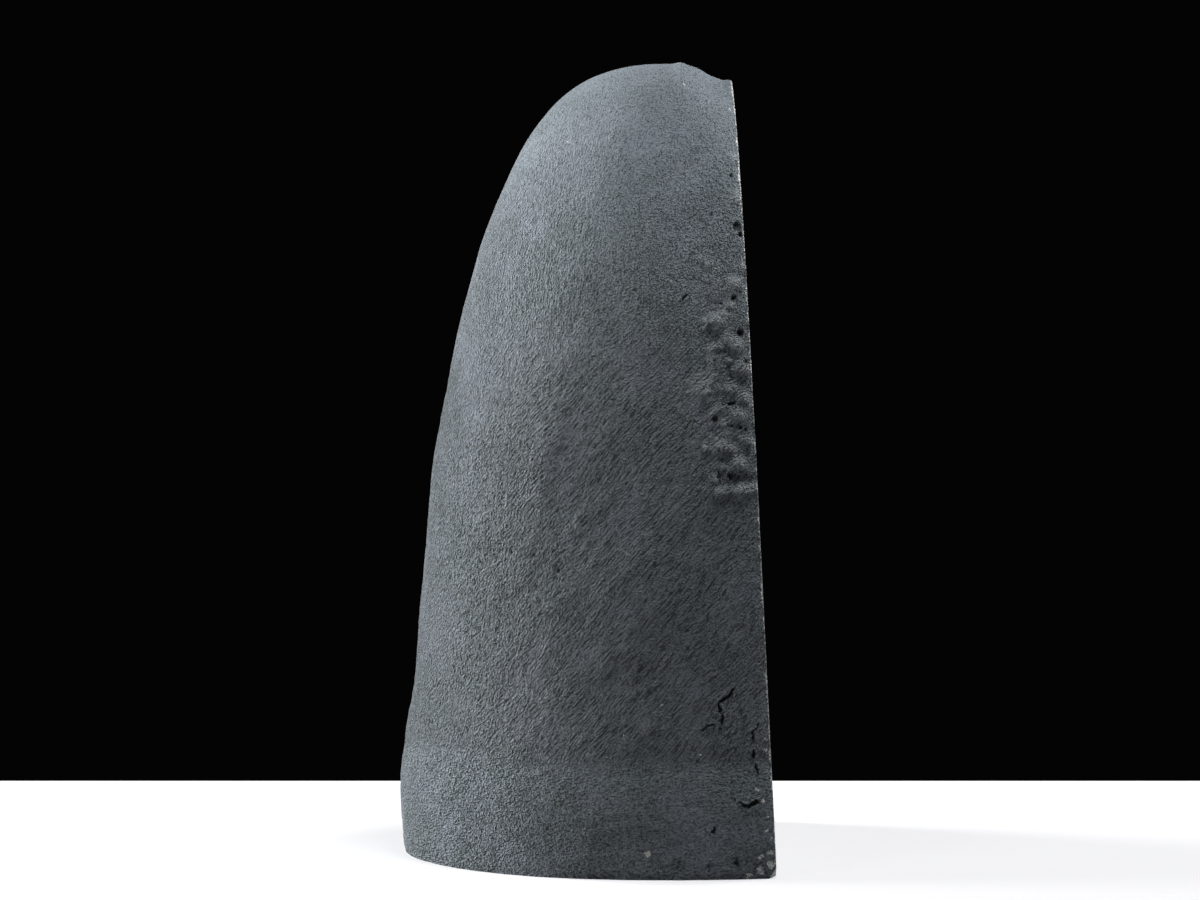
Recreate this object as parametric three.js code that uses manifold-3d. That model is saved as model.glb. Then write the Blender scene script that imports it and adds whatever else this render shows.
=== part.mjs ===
// A raw amethyst geode dome: the back part of a sawn geode, coated with mortar and stood on a poured mortar foot.
// Millimetres, +Z up. The sawn face looks along -Y and leans back. The origin is the middle of the foot's underside.
// From the outside in, the wall is mortar, basalt, green celadonite, banded agate, milky quartz and an amethyst carpet.
// The largest amethyst crystals stand out of the carpet one by one.

import * as THREE from "three";
import { mergeVertices } from "three/addons/utils/BufferGeometryUtils.js";
import Module from "manifold-3d";

const wasm = await Module();
wasm.setup();

// The whole dome
const HEIGHT = 400;
const FACE_AT_BASE = -94; // Y of the sawn face where it meets the ground
const FACE_LEAN = THREE.MathUtils.degToRad(2.85);
const FOOT_HEIGHT = 48;
const GAP = 0.4; // clearance between neighbouring layers

// Where the walls begin to round over into the crown and into the geode's lower end
const SHOULDER_Z = 230;
const HEEL_Z = 105;
const LOWER_END_Z = 5; // the lower end of a body with no depth; deeper bodies end higher by their depth
const BELOW_GROUND_Z = -60; // where the outer form ends before the ground cuts it off
const ROUNDING = 2.5; // superellipse power of both ends
const BACK_POWER = 2; // superellipse powers of a level section, behind and in front of its middle
const FRONT_POWER = 2.3;

// The outer form in level sections, before the saw cut: the height, the Y of the middle, and the reach from there
const SECTIONS = [
  { z: 0, middle: -34, back: 125.5, side: 104.5, front: 154 },
  { z: 36, middle: -34, back: 128, side: 106, front: 155 },
  { z: 60, middle: -34, back: 125.5, side: 104.5, front: 153 },
  { z: 90, middle: -34, back: 120.5, side: 102.5, front: 150 },
  { z: 140, middle: -35, back: 117.5, side: 101, front: 145 },
  { z: 200, middle: -36, back: 113, side: 98.5, front: 137 },
  { z: 250, middle: -38, back: 105.5, side: 93, front: 125 },
  { z: 300, middle: -40, back: 99, side: 87, front: 108 },
  { z: 350, middle: -42, back: 95.5, side: 82, front: 86 },
  { z: 400, middle: -44, back: 98, side: 78, front: 60 },
];

// Wall layers from the outside in, inside the mortar coat
const COAT_THICKNESS = 7;
const LAYERS = [
  { name: "basalt_rind", thickness: 7, color: 0x4b4540, roughness: 0.85 },
  { name: "celadonite_skin", thickness: 2, color: 0x51705c, roughness: 0.8 },
  { name: "agate_band", thickness: 8, color: 0xa9b0b6, roughness: 0.25 },
  { name: "quartz_bed", thickness: 6, color: 0xd9d6dc, roughness: 0.3 },
];
const CARPET_THICKNESS = 9;
const CARPET_ROUGHNESS = 2.2; // how far the crystal carpet's corners stand in or out
const UNEVENNESS = new THREE.Vector3(41, 67, 53); // how fast they alternate along each axis
const LAYER_WAVE = 0.14; // share by which a layer's depth swells and thins along the wall
const LUMP_HEIGHT = 0.7;

const AROUND = 28; // facets round each body
const UP = 17; // facets from its lower end to its crown

// Large crystals, in rows up the cavity: the height, the angles round the section from +X, and the radius and length
const POINT_ROWS = [
  { z: 66, angles: [44, 92, 138], radius: 11, length: 33 },
  { z: 96, angles: [4, 68, 114, 172], radius: 10.5, length: 32 },
  { z: 132, angles: [24, 52, 88, 128, 158], radius: 10, length: 30 },
  { z: 174, angles: [-4, 34, 74, 108, 146, 184], radius: 10.5, length: 31 },
  { z: 214, angles: [14, 54, 92, 128, 166], radius: 10, length: 29 },
  { z: 252, angles: [30, 74, 112, 150], radius: 9.5, length: 27 },
  { z: 288, angles: [50, 94, 136], radius: 9, length: 25 },
  { z: 318, angles: [64, 120], radius: 8, length: 22 },
];
const POINT_VARIATION = 0.25; // share by which a crystal's size may differ from its row's
const POINT_SHIFT = 7; // how far a crystal may stand above or below its row
const POINT_TURN = THREE.MathUtils.degToRad(6); // and how far round the wall from its place in it
const POINT_TILT = THREE.MathUtils.degToRad(16);
const POINT_AIM = 0.2; // how far each leans from level towards the dome's middle
const ROOT_DEPTH = 3; // how deep in the carpet each starts
const ROOT_TAPER = 0.94; // a crystal's radius at its root over its radius at its shoulder
const TIP_SLOPE = 1.15; // height of the pointed end over the crystal's radius
const APEX_SHIFT = 0.3; // how far the tip may lie off the axis, as a share of the radius
const UPWARDS = new THREE.Vector3(0, 0, 1);

const material = (color, roughness, metalness = 0) =>
  new THREE.MeshStandardMaterial({ color, roughness, metalness, flatShading: true });
const MORTAR = material(0x2f3437, 0.9);
const AMETHYST_CARPET = material(0x5b3a86, 0.25);
const AMETHYST_POINT = material(0x4a2478, 0.12);

// One column of the table of sections at a height, on a smooth curve through the rows
function sectionAt(key, z) {
  const last = SECTIONS.length - 1;
  let i = 0;
  while (i < last - 1 && SECTIONS[i + 1].z <= z) i++;
  const row = (k) => SECTIONS[THREE.MathUtils.clamp(k, 0, last)];
  const slope = (k) => (row(k + 1)[key] - row(k - 1)[key]) / (row(k + 1).z - row(k - 1).z);
  const span = row(i + 1).z - row(i).z;
  const t = THREE.MathUtils.clamp((z - row(i).z) / span, 0, 1);
  const rise = row(i + 1)[key] - row(i)[key];
  const fromStart = slope(i) * span - rise;
  const fromEnd = rise - slope(i + 1) * span;
  return row(i)[key] + t * rise + t * (1 - t) * ((1 - t) * fromStart + t * fromEnd);
}

// Slow swells of the hand-laid mortar, from -1 to 1 or so
const lumps = (angle, z) =>
  0.6 * Math.sin(2 * angle + z / 90) + 0.4 * Math.sin(5 * angle - z / 37 + 2);

// How much thicker or thinner the layers run here, as a factor on their depth
const layerWave = (angle, z) =>
  1 + LAYER_WAVE * (0.6 * Math.sin(3 * angle + z / 48 + 1) + 0.4 * Math.sin(7 * angle - z / 31));

const roundOff = (share) => (1 - Math.max(0, share) ** ROUNDING) ** (1 / ROUNDING);

// The point of a body at an angle round its section and a height, depth mm inside the outer form
function pointOnBody(angle, z, depth, top, bottom) {
  const waved = COAT_THICKNESS + (depth - COAT_THICKNESS) * layerWave(angle, z);
  const inset = depth > COAT_THICKNESS ? waved : depth;
  let end = roundOff((z - SHOULDER_Z) / (top - SHOULDER_Z));
  if (bottom > 0) end *= roundOff((HEEL_Z - z) / (HEEL_Z - bottom));
  const swell = LUMP_HEIGHT * lumps(angle, z);
  const [c, s] = [Math.cos(angle), Math.sin(angle)];
  const power = s < 0 ? FRONT_POWER : BACK_POWER;
  const depthWise = sectionAt(s < 0 ? "front" : "back", z);
  const round = (v) => Math.sign(v) * Math.abs(v) ** (2 / power);
  const x = (sectionAt("side", z) + swell - inset) * end * round(c);
  const y = (depthWise + swell - inset) * end * round(s);
  return new THREE.Vector3(x, sectionAt("middle", z) + y, z);
}

// A closed body depth mm inside the outer form. The outer form itself has no lower end: it runs on below the ground.
function body(depth, { open = false, roughness = 0 } = {}) {
  const top = HEIGHT - depth;
  const bottom = open ? BELOW_GROUND_Z : LOWER_END_Z + depth;
  const geometry = new THREE.SphereGeometry(1, AROUND, UP).rotateX(Math.PI / 2);
  const position = geometry.attributes.position;
  const unit = new THREE.Vector3();
  for (let i = 0; i < position.count; i++) {
    unit.fromBufferAttribute(position, i);
    const angle = Math.atan2(unit.y, unit.x);
    const atPole = Math.abs(unit.z) > 0.9999;
    // Corners stand in or out, unevenly, where the surface is crystalline.
    const facet = atPole ? 0 : roughness * Math.sin(unit.dot(UNEVENNESS));
    const z = THREE.MathUtils.mapLinear(unit.z, -1, 1, bottom, top);
    const p = pointOnBody(angle, z, depth + facet, top, bottom);
    if (atPole) p.set(0, sectionAt("middle", z), z);
    position.setXYZ(i, p.x, p.y, p.z);
  }
  return solid(geometry);
}

// three.js geometry to a manifold-3d solid, and back
function solid(geometry) {
  const bare = geometry.clone();
  bare.deleteAttribute("normal");
  bare.deleteAttribute("uv");
  const merged = mergeVertices(bare, 1e-3);
  return new wasm.Manifold(
    new wasm.Mesh({
      numProp: 3,
      vertProperties: new Float32Array(merged.attributes.position.array),
      triVerts: new Uint32Array(merged.index.array),
    }),
  );
}

function geometryOf(made) {
  const { vertProperties, triVerts } = made.getMesh();
  const geometry = new THREE.BufferGeometry()
    .setAttribute("position", new THREE.BufferAttribute(vertProperties, 3))
    .setIndex(new THREE.BufferAttribute(triVerts, 1));
  geometry.computeVertexNormals();
  return geometry;
}

// What the saw leaves: everything behind the leaning face, set back a little for a piece that must not reach it
function behindFace(made, setBack = 0) {
  const normal = [0, Math.cos(FACE_LEAN), -Math.sin(FACE_LEAN)];
  return made.trimByPlane(normal, FACE_AT_BASE * Math.cos(FACE_LEAN) + setBack);
}

const above = (made, z) => made.trimByPlane([0, 0, 1], z);
const below = (made, z) => made.trimByPlane([0, 0, -1], -z);

const dome = new THREE.Group();

function addNode(name, made, look) {
  const mesh = new THREE.Mesh(geometryOf(made), look);
  mesh.name = name;
  dome.add(mesh);
}

// Mortar: the coat over the back and sides, and the foot that the geode's rounded lower end is bedded in
function addMortar() {
  const outside = behindFace(body(0, { open: true }));
  const bedding = body(COAT_THICKNESS - GAP);
  addNode("mortar_foot", below(above(outside, 0), FOOT_HEIGHT).subtract(bedding), MORTAR);
  addNode("mortar_coat", above(outside, FOOT_HEIGHT + GAP).subtract(bedding), MORTAR);
}

// The rock and mineral layers, each a shell between two bodies. Returns the depth of the last one's inside.
function addLayers() {
  let depth = COAT_THICKNESS;
  for (const { name, thickness, color, roughness } of LAYERS) {
    const shell = body(depth).subtract(body(depth + thickness - GAP));
    addNode(name, behindFace(shell), material(color, roughness));
    depth += thickness;
  }
  return depth;
}

// The carpet of small crystals that lines the cavity
function addCarpet(depth) {
  const inside = body(depth + CARPET_THICKNESS, { roughness: CARPET_ROUGHNESS });
  addNode("amethyst_carpet", behindFace(body(depth).subtract(inside)), AMETHYST_CARPET);
}

// One six-sided crystal with its root at the origin, standing along +Z, with its tip a little off the axis
function crystal(radius, length) {
  const tip = radius * TIP_SLOPE;
  const profile = [
    new THREE.Vector2(0, 0),
    new THREE.Vector2(radius * ROOT_TAPER, 0),
    new THREE.Vector2(radius, length - tip),
    new THREE.Vector2(0, length),
  ];
  const geometry = new THREE.LatheGeometry(profile, 6).rotateX(Math.PI / 2);
  const shift = radius * APEX_SHIFT;
  const [dx, dy] = [spread(shift), spread(shift)];
  const position = geometry.attributes.position;
  for (let i = 0; i < position.count; i++) {
    if (position.getZ(i) > length - 0.01) {
      position.setX(i, position.getX(i) + dx);
      position.setY(i, position.getY(i) + dy);
    }
  }
  return geometry;
}

// A repeatable random number from -size to size
const spread = (size) => (THREE.MathUtils.seededRandom() * 2 - 1) * size;

// Large crystals stand on the cavity's wall and point inwards, each cut off at the carpet it grows from
function addPoints(depth) {
  THREE.MathUtils.seededRandom(11);
  const wall = depth + CARPET_THICKNESS;
  const cavity = behindFace(body(wall + GAP, { roughness: CARPET_ROUGHNESS }), GAP);
  let count = 0;
  for (const row of POINT_ROWS) {
    const { radius, length } = row;
    for (const degrees of row.angles) {
      const z = row.z + spread(POINT_SHIFT);
      const angle = THREE.MathUtils.degToRad(degrees) + spread(POINT_TURN);
      const root = pointOnBody(angle, z, wall - ROOT_DEPTH, HEIGHT - wall, LOWER_END_Z + wall);
      const size = 1 + spread(POINT_VARIATION);
      const geometry = crystal(radius * size, length * size);
      const aim = new THREE.Vector3(0, sectionAt("middle", z), THREE.MathUtils.lerp(z, HEIGHT / 2, POINT_AIM));
      const inwards = aim.sub(root).normalize();
      const lean = new THREE.Vector3(spread(1), spread(1), spread(1)).multiplyScalar(Math.sin(POINT_TILT));
      const stand = new THREE.Quaternion().setFromUnitVectors(UPWARDS, inwards.add(lean).normalize());
      const roll = new THREE.Quaternion().setFromAxisAngle(UPWARDS, spread(Math.PI));
      geometry.applyQuaternion(stand.multiply(roll)).translate(root.x, root.y, root.z);
      count++;
      const name = "amethyst_point_" + String(count).padStart(2, "0");
      addNode(name, solid(geometry).intersect(cavity), AMETHYST_POINT);
    }
  }
}

addMortar();
const carpetDepth = addLayers();
addCarpet(carpetDepth);
addPoints(carpetDepth);

export default dome;
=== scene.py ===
# A raw amethyst geode dome, standing on its mortar foot. Metres, +Z up, the sawn face towards -Y.

import bmesh
import bpy
import math
import numpy as np
import random
from itertools import product
from mathutils import Matrix, Vector, noise
from mathutils.bvhtree import BVHTree
from mathutils.kdtree import KDTree


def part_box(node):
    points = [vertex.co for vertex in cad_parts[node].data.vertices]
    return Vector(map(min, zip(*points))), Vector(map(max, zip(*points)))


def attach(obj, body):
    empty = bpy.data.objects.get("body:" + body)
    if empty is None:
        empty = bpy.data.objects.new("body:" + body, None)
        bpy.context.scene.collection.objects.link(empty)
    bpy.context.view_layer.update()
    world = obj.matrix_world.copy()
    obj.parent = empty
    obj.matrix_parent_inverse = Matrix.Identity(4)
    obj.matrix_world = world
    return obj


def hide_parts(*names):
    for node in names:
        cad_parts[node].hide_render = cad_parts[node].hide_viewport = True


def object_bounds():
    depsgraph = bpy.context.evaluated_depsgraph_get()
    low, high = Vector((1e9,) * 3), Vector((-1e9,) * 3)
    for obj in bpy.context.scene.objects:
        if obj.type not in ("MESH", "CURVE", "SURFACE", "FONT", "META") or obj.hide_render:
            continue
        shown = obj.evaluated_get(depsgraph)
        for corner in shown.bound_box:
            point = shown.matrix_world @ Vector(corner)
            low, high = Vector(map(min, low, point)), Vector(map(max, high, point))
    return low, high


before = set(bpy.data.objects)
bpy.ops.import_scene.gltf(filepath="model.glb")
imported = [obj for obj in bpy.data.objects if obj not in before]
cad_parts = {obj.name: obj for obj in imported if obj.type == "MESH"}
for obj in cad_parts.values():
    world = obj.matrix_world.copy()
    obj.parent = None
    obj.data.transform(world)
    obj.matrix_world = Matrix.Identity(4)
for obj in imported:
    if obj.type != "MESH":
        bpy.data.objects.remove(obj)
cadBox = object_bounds()
mm = 0.001
nearly = 0.01 * mm  # how far off a plane a vertex that lies on it may be
noise.seed_set(7)  # fixes the noise vectors, which otherwise follow the clock


# The form that every layer follows

geode = {
    "height": cadBox[1].z,
    "faceAtBase": cadBox[0].y,  # where the sawn face meets the ground
    "faceLean": math.radians(2.85),
    "footTop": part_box("mortar_foot")[1].z,
    "shoulder": 230 * mm,  # the crown rounds over from here up
    "heel": 105 * mm,  # and the geode's lower end from here down
    "lowerEnd": 5 * mm,
    "belowGround": -60 * mm,
    "rounding": 2.5,
    "backPower": 2.0,
    "frontPower": 2.3,
    "layerWave": 0.14,  # share by which the layers swell and thin along the wall
    "seed": 11,
}
depths = {  # how deep each layer's outside lies in the wall
    "coat": 0.0,
    "basalt": 7 * mm,
    "celadonite": 14 * mm,
    "agate": 16 * mm,
    "quartz": 24 * mm,
    "carpet": 30 * mm,
    "cavity": 37 * mm,
}
layerJoint = 0.2 * mm  # neighbours meet half-way across the solids' clearance
sections = mm * np.array([  # height, middle, and the reach from it to the back, the sides and the front
    (0, -34, 125.5, 104.5, 154),
    (36, -34, 128, 106, 155),
    (60, -34, 125.5, 104.5, 153),
    (90, -34, 120.5, 102.5, 150),
    (140, -35, 117.5, 101, 145),
    (200, -36, 113, 98.5, 137),
    (250, -38, 105.5, 93, 125),
    (300, -40, 99, 87, 108),
    (350, -42, 95.5, 82, 86),
    (400, -44, 98, 78, 60),
])
facePoint = Vector((0, geode["faceAtBase"], 0))
faceNormal = Vector((0, -math.cos(geode["faceLean"]), math.sin(geode["faceLean"])))


def sectionAt(column, z):  # one column of the table, on a smooth curve through its rows
    heights = sections[:, 0]
    values = sections[:, column]
    last = len(heights) - 1
    after = np.minimum(np.arange(last + 1) + 1, last)
    before = np.maximum(np.arange(last + 1) - 1, 0)
    slopes = (values[after] - values[before]) / (heights[after] - heights[before])
    i = np.clip(np.searchsorted(heights, z, side="right") - 1, 0, last - 1)
    span = heights[i + 1] - heights[i]
    rise = values[i + 1] - values[i]
    t = np.clip((z - heights[i]) / span, 0, 1)
    fromStart = slopes[i] * span - rise
    fromEnd = rise - slopes[i + 1] * span
    return values[i] + t * rise + t * (1 - t) * ((1 - t) * fromStart + t * fromEnd)


def roundOff(share):
    power = geode["rounding"]
    return (1 - np.clip(share, 0, 1) ** power) ** (1 / power)


def geodeForm(unit, depth, openBelow=False):  # points of a unit sphere, as rows, moved to the form at a depth
    top = geode["height"] - depth
    bottom = geode["belowGround"] if openBelow else geode["lowerEnd"] + depth
    angle = np.arctan2(unit[:, 1], unit[:, 0])
    z = bottom + (unit[:, 2] + 1) / 2 * (top - bottom)
    wave = 0.6 * np.sin(3 * angle + z / 0.048 + 1) + 0.4 * np.sin(7 * angle - z / 0.031)
    coat = depths["basalt"]
    inset = coat + (depth - coat) * (1 + geode["layerWave"] * wave) if depth > coat else depth
    end = roundOff((z - geode["shoulder"]) / (top - geode["shoulder"]))
    if not openBelow:
        end = end * roundOff((geode["heel"] - z) / (geode["heel"] - bottom))
    swell = 0.7 * mm * (0.6 * np.sin(2 * angle + z / 0.09) + 0.4 * np.sin(5 * angle - z / 0.037 + 2))
    front = np.sin(angle) < 0
    power = 2 / np.where(front, geode["frontPower"], geode["backPower"])
    reach = np.where(front, sectionAt(4, z), sectionAt(2, z))
    across = np.sign(np.cos(angle)) * np.abs(np.cos(angle)) ** power
    along = np.sign(np.sin(angle)) * np.abs(np.sin(angle)) ** power
    x = (sectionAt(3, z) + swell - inset) * end * across
    y = sectionAt(1, z) + (reach + swell - inset) * end * along
    return np.column_stack((x, y, z))


def addBody(bm, subdivisions, depth, openBelow=False):  # a closed body at a depth; returns its vertices
    verts = bmesh.ops.create_icosphere(bm, subdivisions=subdivisions, radius=1)["verts"]
    unit = np.array([v.co for v in verts])
    for v, place in zip(verts, geodeForm(unit, depth, openBelow)):
        v.co = place
    return verts


def cutAway(bm, geometry, point, normal):  # removes what lies on the normal's side of a plane
    return bmesh.ops.bisect_plane(
        bm, geom=geometry, plane_co=point, plane_no=normal, dist=1e-6, clear_outer=True
    )


def allGeometry(bm):
    return list(bm.verts) + list(bm.edges) + list(bm.faces)


def smooth(low, high, value):  # 0 below low, 1 above high, eased between
    t = min(max((value - low) / (high - low), 0), 1)
    return t * t * (3 - 2 * t)


def faceDepth(p):  # how far a point lies behind the sawn face
    return (facePoint - p).dot(faceNormal)


def join(bm, other):  # adds another bmesh's geometry, and frees it
    mesh = bpy.data.meshes.new("joined")
    other.to_mesh(mesh)
    other.free()
    bm.from_mesh(mesh)
    bpy.data.meshes.remove(mesh)


def finishPiece(bm, name, material, node, sharpAngle=math.radians(40)):
    mesh = bpy.data.meshes.new(name)
    bm.to_mesh(mesh)
    bm.free()
    mesh.set_sharp_from_angle(angle=sharpAngle)
    mesh.materials.append(material)
    piece = bpy.data.objects.new(name, mesh)
    bpy.context.scene.collection.objects.link(piece)
    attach(piece, "root")
    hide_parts(node)
    print(name, len(mesh.polygons), "faces")
    return piece


# Node tools

def addNode(tree, kind, place, values=None, **settings):
    node = tree.nodes.new("ShaderNode" + kind)
    node.location = (place[0] * 200, place[1] * 200)
    for key, value in settings.items():
        setattr(node, key, value)
    for key, value in (values or {}).items():
        node.inputs[key].default_value = value
    return node


def newGroup(name, inputs, outputs):  # every group also takes the coordinates its pattern follows
    group = bpy.data.node_groups.new(name, "ShaderNodeTree")
    group.interface.new_socket("Coordinates", in_out="INPUT", socket_type="NodeSocketVector")
    for key, value in inputs.items():
        kind = "NodeSocketVector" if isinstance(value, tuple) else "NodeSocketFloat"
        group.interface.new_socket(key, in_out="INPUT", socket_type=kind).default_value = value
    for key in outputs:
        group.interface.new_socket(key, in_out="OUTPUT", socket_type="NodeSocketFloat")
    source = group.nodes.new("NodeGroupInput")
    source.location = (-1000, 0)
    result = group.nodes.new("NodeGroupOutput")
    result.location = (1000, 0)
    return group, source, result


def useGroup(tree, group, place, coordinates, values=None):
    node = addNode(tree, "Group", place, values, node_tree=group)
    tree.links.new(coordinates, node.inputs["Coordinates"])
    return node


def addNoise(tree, place, coordinates, scale, detail, roughness=0.5):
    node = addNode(tree, "TexNoise", place, {"Scale": scale, "Detail": detail, "Roughness": roughness})
    tree.links.new(coordinates, node.inputs["Vector"])
    return node.outputs["Fac"]


def objectPlace(tree):
    return addNode(tree, "TexCoord", (-9, 0)).outputs["Object"]


def attribute(tree, place, name):
    return addNode(tree, "Attribute", place, attribute_name=name).outputs["Fac"]


def newMaterial(name):
    material = bpy.data.materials.new(name)
    material.use_nodes = True
    tree = material.node_tree
    tree.nodes["Principled BSDF"].location = (1400, 0)
    tree.nodes["Material Output"].location = (1700, 0)
    return material, tree, tree.nodes["Principled BSDF"]


def ramp(tree, place, value, stops):
    node = addNode(tree, "ValToRGB", place)
    tree.links.new(value, node.inputs[0])
    elements = node.color_ramp.elements
    while len(elements) < len(stops):
        elements.new(0.5)
    for element, (position, colour) in zip(elements, stops):
        element.position = position
        element.color = (*colour, 1)
    return node.outputs["Color"]


def feed(tree, node, inputs, values):  # each value is a socket, a colour or a number
    for key, value in zip(inputs, values):
        if isinstance(value, bpy.types.NodeSocket):
            tree.links.new(value, node.inputs[key])
        elif isinstance(value, tuple):
            node.inputs[key].default_value = (*value, 1)
        else:
            node.inputs[key].default_value = value


def maths(tree, place, operation, *values):
    node = addNode(tree, "Math", place, operation=operation)
    feed(tree, node, range(len(values)), values)
    return node.outputs[0]


def multiplyAdd(tree, place, value, factor, addend):
    return maths(tree, place, "MULTIPLY_ADD", value, factor, addend)


def mapRange(tree, place, value, low, high, toLow=0.0, toHigh=1.0):
    node = addNode(tree, "MapRange", place, interpolation_type="SMOOTHSTEP")
    feed(tree, node, ("Value", "From Min", "From Max", "To Min", "To Max"), (value, low, high, toLow, toHigh))
    return node.outputs[0]


def mixColour(tree, place, factor, first, second, blend="MIX"):
    node = addNode(tree, "Mix", place, data_type="RGBA", blend_type=blend)
    feed(tree, node, (0, 6, 7), (factor, first, second))  # a Mix node's sockets for colours
    return node.outputs[2]


def mixValue(tree, place, factor, first, second):
    node = addNode(tree, "Mix", place, data_type="FLOAT")
    feed(tree, node, (0, 2, 3), (factor, first, second))  # and its sockets for numbers
    return node.outputs[0]


def bump(tree, place, height, distance, shader, strength=1.0):
    node = addNode(tree, "Bump", place, {"Distance": distance, "Strength": strength})
    tree.links.new(height, node.inputs["Height"])
    tree.links.new(node.outputs[0], shader.inputs["Normal"])


# Effects that several finishes share

def makeBrushStrokes():  # bristle marks, drawn out along one direction
    group, source, result = newGroup(
        "brushStrokes",
        {"Frequency": (600, 600, 90), "Roughness": 0.65},
        ("Height", "Scratches"),
    )
    link = group.links.new
    scaled = addNode(group, "VectorMath", (-3, 0), operation="MULTIPLY")
    link(source.outputs["Coordinates"], scaled.inputs[0])
    link(source.outputs["Frequency"], scaled.inputs[1])
    bristles = addNode(group, "TexNoise", (-1, 0), {"Scale": 1, "Detail": 1.5})
    link(scaled.outputs[0], bristles.inputs["Vector"])
    link(source.outputs["Roughness"], bristles.inputs["Roughness"])
    link(bristles.outputs["Fac"], result.inputs["Height"])
    scratches = mapRange(group, (2, -1), bristles.outputs["Fac"], 0.42, 0.36)
    link(scratches, result.inputs["Scratches"])
    return group


def makeSandGrain():  # sand in mortar, or grain in rock: fine grain, open pits and pale specks
    group, source, result = newGroup(
        "sandGrain",
        {"Grain Size": 0.8 * mm, "Pit Spacing": 5 * mm, "Speck Spacing": 9 * mm},
        ("Height", "Pits", "Specks"),
    )
    link = group.links.new
    grain = addNode(group, "TexNoise", (0, 2), {"Detail": 1, "Roughness": 0.5})
    link(maths(group, (-2, 2), "DIVIDE", 1, source.outputs["Grain Size"]), grain.inputs["Scale"])
    link(source.outputs["Coordinates"], grain.inputs["Vector"])
    link(grain.outputs["Fac"], result.inputs["Height"])
    for y, spacing, reach, emptyShare, output in (  # dots in some of the cells of each pattern
        (0, "Pit Spacing", 0.19, 0.45, "Pits"),
        (-2, "Speck Spacing", 0.045, 0.80, "Specks"),
    ):
        cells = addNode(group, "TexVoronoi", (0, y), {"Randomness": 1})
        link(source.outputs["Coordinates"], cells.inputs["Vector"])
        link(maths(group, (-2, y), "DIVIDE", 1, source.outputs[spacing]), cells.inputs["Scale"])
        near = mapRange(group, (2, y), cells.outputs["Distance"], reach, reach * 0.45)
        chosen = addNode(group, "SeparateColor", (1, y - 1))
        link(cells.outputs["Color"], chosen.inputs[0])
        some = maths(group, (2, y - 1), "GREATER_THAN", chosen.outputs[0], emptyShare)
        link(maths(group, (3, y), "MULTIPLY", near, some), result.inputs[output])
    return group


def makeFaceEdge():  # a thin broken line along the edge of the sawn face, where no paint is left, pale also as a painted highlight on the edge
    group, source, result = newGroup("faceEdge", {"Width": 1.0 * mm}, ("Wear And Highlight",))
    link = group.links.new
    away = addNode(group, "VectorMath", (-3, 0), operation="SUBTRACT")
    away.inputs[0].default_value = facePoint
    link(source.outputs["Coordinates"], away.inputs[1])
    behind = addNode(group, "VectorMath", (-2, 0), operation="DOT_PRODUCT")
    behind.inputs[1].default_value = faceNormal
    link(away.outputs[0], behind.inputs[0])
    patchy = addNoise(group, (-2, -2), source.outputs["Coordinates"], 160, 4, 0.7)
    uneven = mapRange(group, (-1, -3), patchy, 0.35, 0.7, 0.1, 2.0)
    width = maths(group, (-1, -2), "MULTIPLY", source.outputs["Width"], uneven)
    link(maths(group, (1, 0), "LESS_THAN", behind.outputs["Value"], width), result.inputs["Wear And Highlight"])
    return group


def makeClouding():  # milky clouds in a mineral, and the hairline veins through it
    group, source, result = newGroup("clouding", {"Cloud Size": 8 * mm}, ("Clouds", "Veins"))
    link = group.links.new
    scale = maths(group, (-3, 0), "DIVIDE", 1, source.outputs["Cloud Size"])
    clouds = addNode(group, "TexNoise", (0, 1), {"Detail": 5, "Roughness": 0.6, "Distortion": 0.4})
    veins = addNode(group, "TexVoronoi", (0, -1), {"Randomness": 1}, feature="DISTANCE_TO_EDGE")
    for node in (clouds, veins):
        link(source.outputs["Coordinates"], node.inputs["Vector"])
        link(scale, node.inputs["Scale"])
    link(clouds.outputs["Fac"], result.inputs["Clouds"])
    link(mapRange(group, (2, -1), veins.outputs["Distance"], 0.05, 0.0), result.inputs["Veins"])
    return group


brushStrokes = makeBrushStrokes()
sandGrain = makeSandGrain()
faceEdge = makeFaceEdge()
clouding = makeClouding()
print("effects made")


# Mortar: one hand-laid surface, parted into the coat and the foot

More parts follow.
